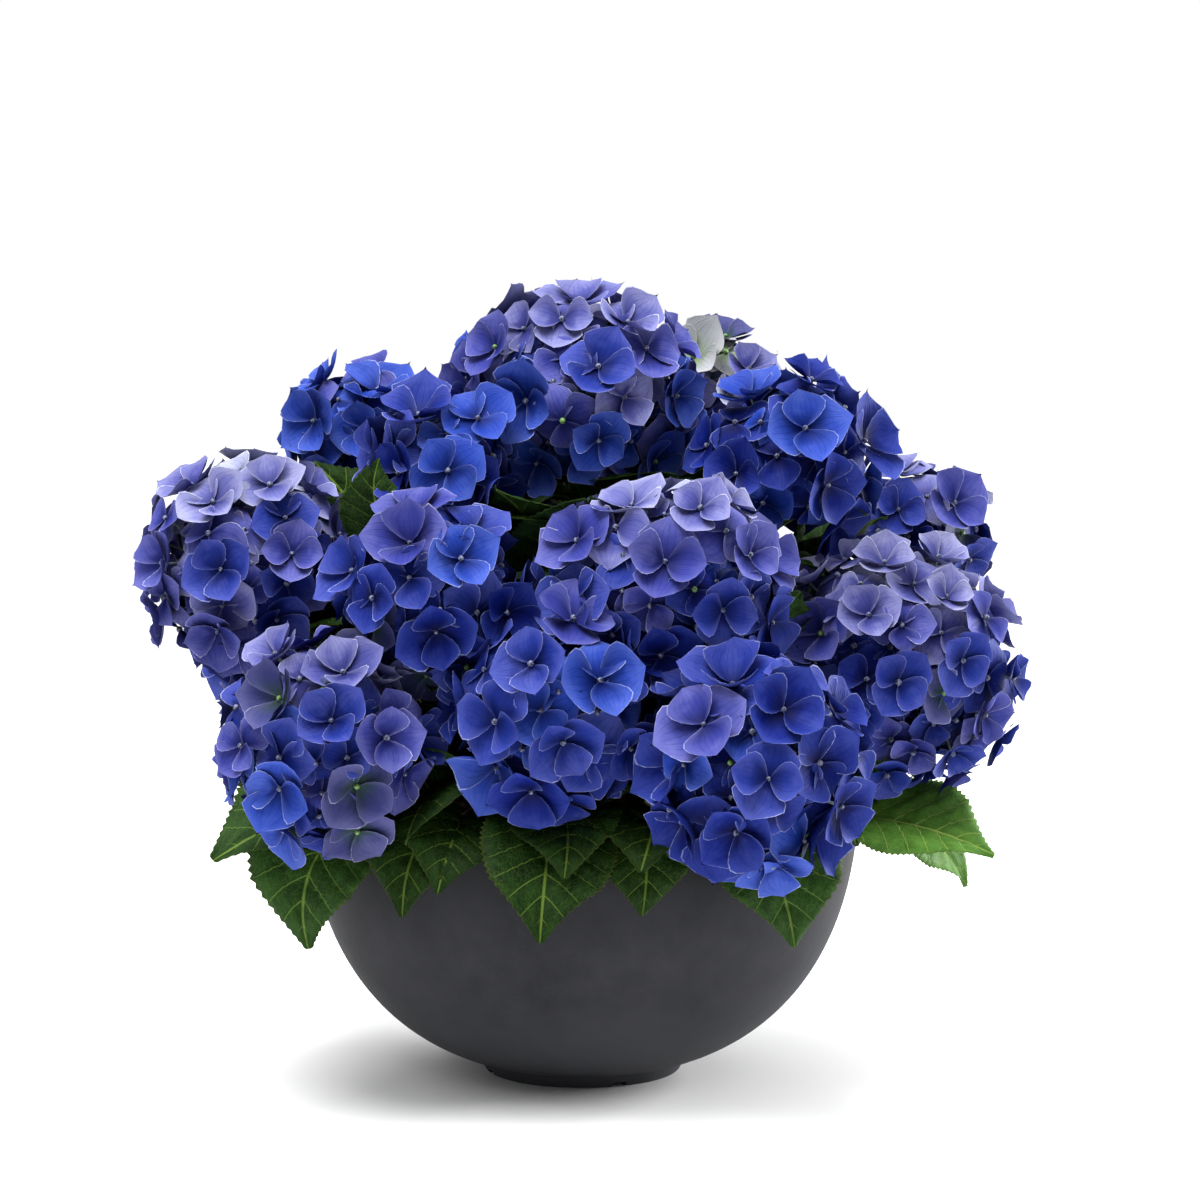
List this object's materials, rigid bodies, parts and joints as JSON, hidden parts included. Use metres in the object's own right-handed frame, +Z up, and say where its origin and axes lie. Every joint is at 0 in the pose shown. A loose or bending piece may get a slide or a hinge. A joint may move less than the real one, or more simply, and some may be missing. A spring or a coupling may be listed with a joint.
{
  "type": "potted mophead hydrangea",
  "caption": "Blue mophead hydrangea in full flower, in a wide dark grey bowl pot with a low foot ring, leaves hanging over its rim.",
  "frame": {"origin": "centre of the pot's flat underside, on the ground", "axes": "+Z up, -Y towards the picture's viewer, +X to the viewer's right"},
  "size_m": [0.5455, 0.5324, 0.4966],
  "materials": {
    "pot_grey": "matt, faintly mottled fibre composite",
    "soil_brown": "crumbly potting soil",
    "bark_brown": "dull, peeling bark",
    "cane_green": "satin green stem with brown flecks",
    "leaf_green": "satin leaf",
    "petal_blue": "soft matt sepal",
    "petal_violet": "soft matt sepal"
  },
  "bodies": {
    "root": {"pot": "pot_grey", "soil": "soil_brown", "root_crown": "bark_brown", "cane_01": "cane_green", "cane_02": "cane_green", "cane_03": "cane_green", "cane_04": "cane_green", "cane_05": "cane_green", "cane_06": "cane_green", "cane_07": "cane_green", "cane_08": "cane_green", "cane_09": "cane_green", "cane_10": "cane_green", "cane_11": "cane_green", "cane_12": "cane_green", "cane_13": "cane_green", "cane_14": "cane_green", "cane_15": "cane_green", "cane_16": "cane_green", "cane_17": "cane_green", "cane_18": "cane_green", "cane_19": "cane_green", "cane_20": "cane_green", "bloom_01": "petal_blue", "bloom_02": "petal_violet", "bloom_03": "petal_blue", "bloom_04": "petal_violet", "bloom_05": "petal_blue", "bloom_06": "petal_violet", "bloom_07": "petal_blue", "bloom_08": "petal_violet", "bloom_09": "petal_blue", "bloom_10": "petal_violet", "bloom_11": "petal_blue", "bloom_12": "petal_violet", "bloom_13": "petal_blue", "bloom_14": "petal_violet", "bloom_15": "petal_blue", "bloom_16": "petal_violet", "bloom_17": "petal_blue", "bloom_18": "petal_violet", "bloom_19": "petal_blue", "bloom_20": "petal_violet", "leaf_shoot_01": "leaf_green", "leaf_shoot_02": "leaf_green", "leaf_shoot_03": "leaf_green", "leaf_shoot_04": "leaf_green", "leaf_shoot_05": "leaf_green", "leaf_shoot_06": "leaf_green", "leaf_shoot_07": "leaf_green", "leaf_shoot_08": "leaf_green", "leaf_shoot_09": "leaf_green", "leaf_shoot_10": "leaf_green", "leaf_shoot_11": "leaf_green", "leaf_shoot_12": "leaf_green", "leaf_shoot_13": "leaf_green", "leaf_shoot_14": "leaf_green", "leaf_shoot_15": "leaf_green", "leaf_shoot_16": "leaf_green", "leaf_shoot_17": "leaf_green"}
  },
  "joints": []
}
